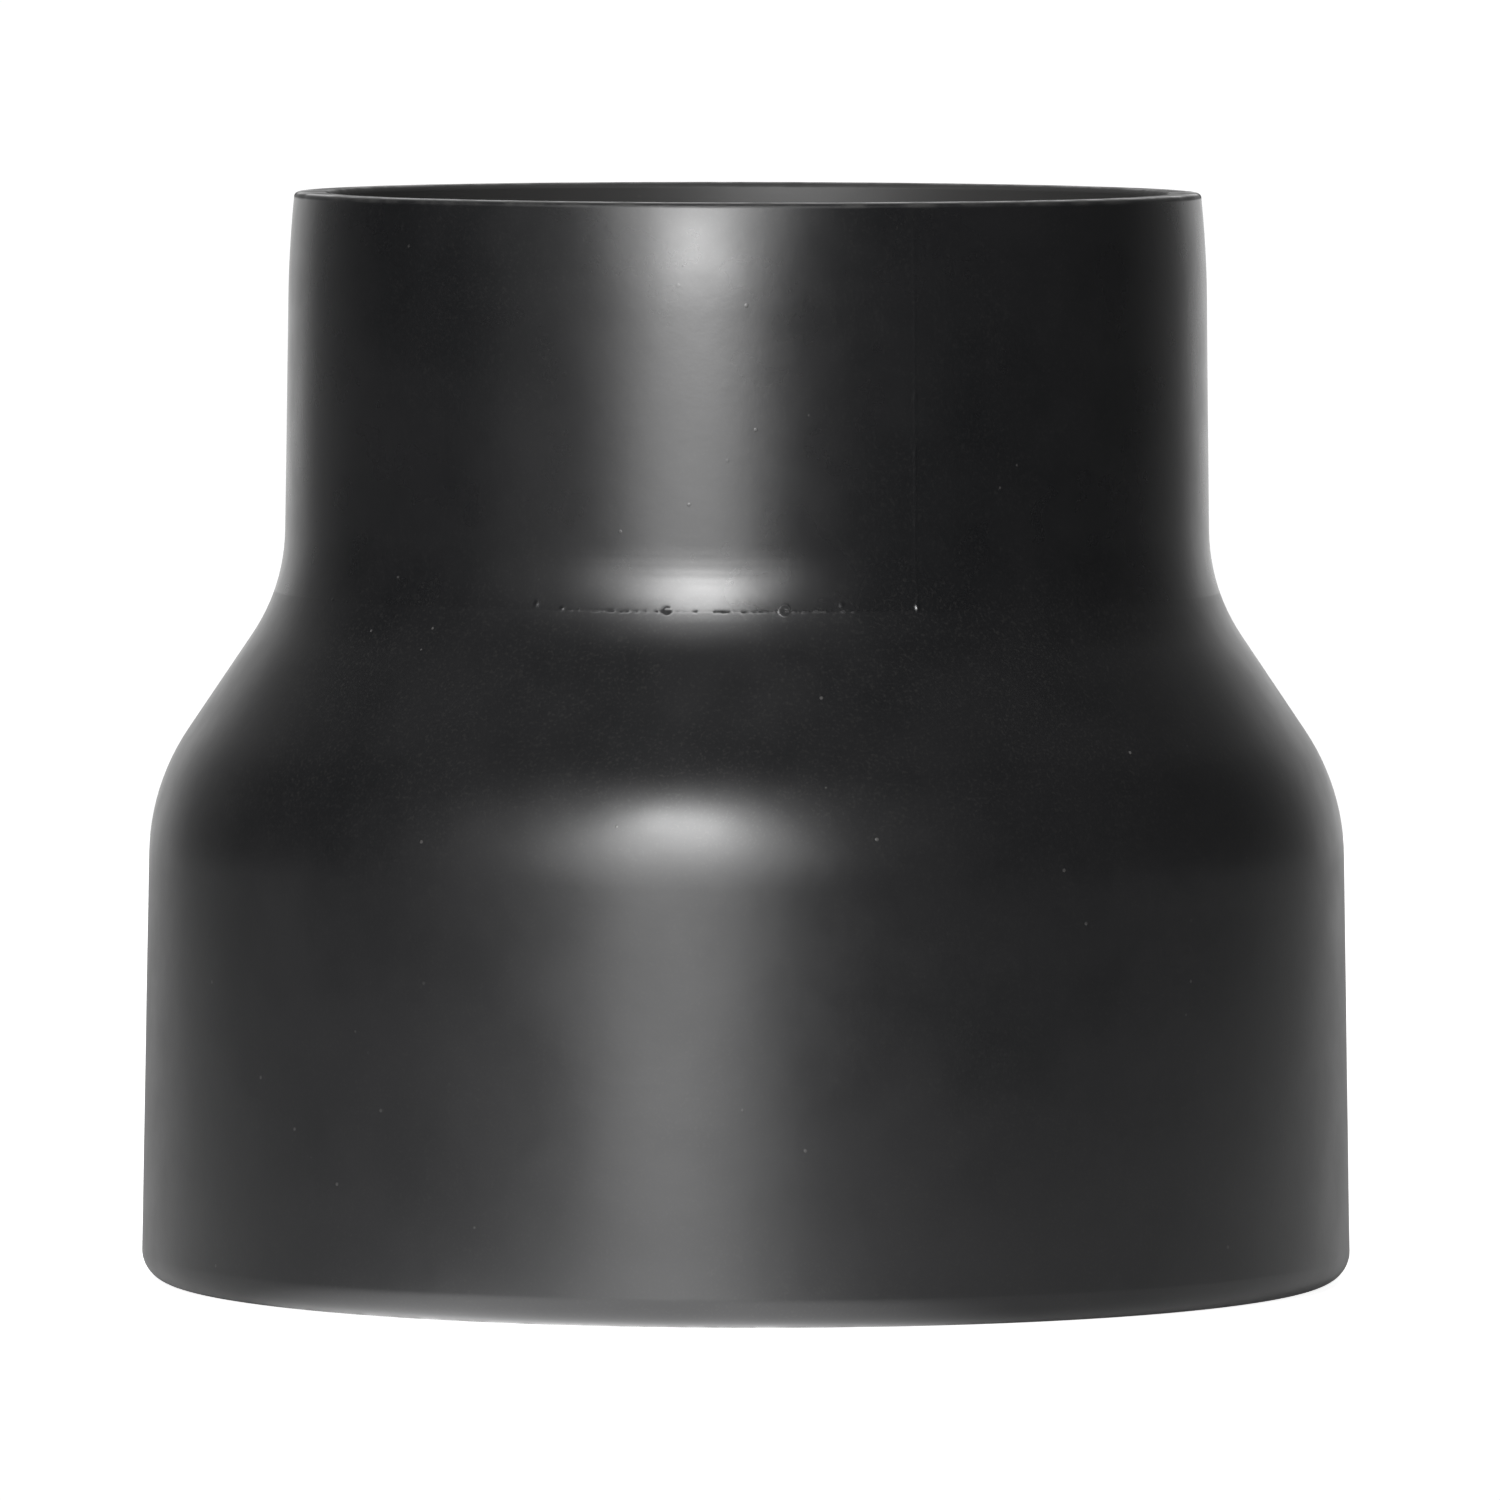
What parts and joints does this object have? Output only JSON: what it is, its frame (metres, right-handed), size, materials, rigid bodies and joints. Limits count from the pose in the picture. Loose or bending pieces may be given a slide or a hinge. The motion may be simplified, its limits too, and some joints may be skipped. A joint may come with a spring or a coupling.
{
  "type": "concentric reducer",
  "caption": "Round plastic pipe reducer with a wide socket below, a curved concentric flare and a narrow socket above, open right through.",
  "frame": {"origin": "centre of the wide foot rim, on the plane that the reducer stands on", "axes": "+Z along the axis of both sockets, from the wide end to the narrow end; -Y is the front, with the first upright witness line 20.8 degrees from it towards +X"},
  "size_m": [0.1288, 0.1288, 0.1158],
  "materials": {
    "black_plastic": "satin"
  },
  "bodies": {
    "root": {"reducer_body": "black_plastic"}
  },
  "joints": []
}
